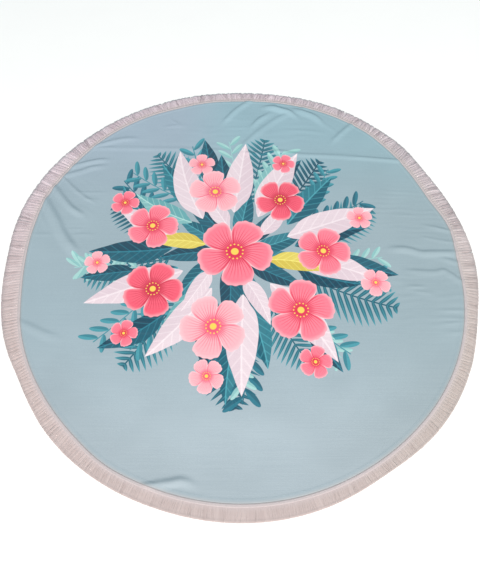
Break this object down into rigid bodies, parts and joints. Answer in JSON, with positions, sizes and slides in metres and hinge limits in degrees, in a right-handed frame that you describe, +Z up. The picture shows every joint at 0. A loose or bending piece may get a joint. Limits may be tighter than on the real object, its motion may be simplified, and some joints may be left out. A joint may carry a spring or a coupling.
{
  "type": "round beach towel",
  "caption": "Round cotton beach towel lying flat, with a stitched hem, a cut fringe trim all round and a few soft laid folds.",
  "frame": {"origin": "on the floor under the middle of the towel's outline", "axes": "+Z up out of the printed side; +X to the right and +Y away from the viewer as the print is looked at"},
  "size_m": [1.4997, 1.4901, 0.0135],
  "materials": {
    "towel_cloth": "printed aqua cotton, matt, with a soft short nap",
    "fringe_trim": "undyed pale pinkish cotton yarn, matt"
  },
  "bodies": {
    "root": {"towel_cloth": "towel_cloth", "fringe_trim": "fringe_trim"}
  },
  "joints": []
}
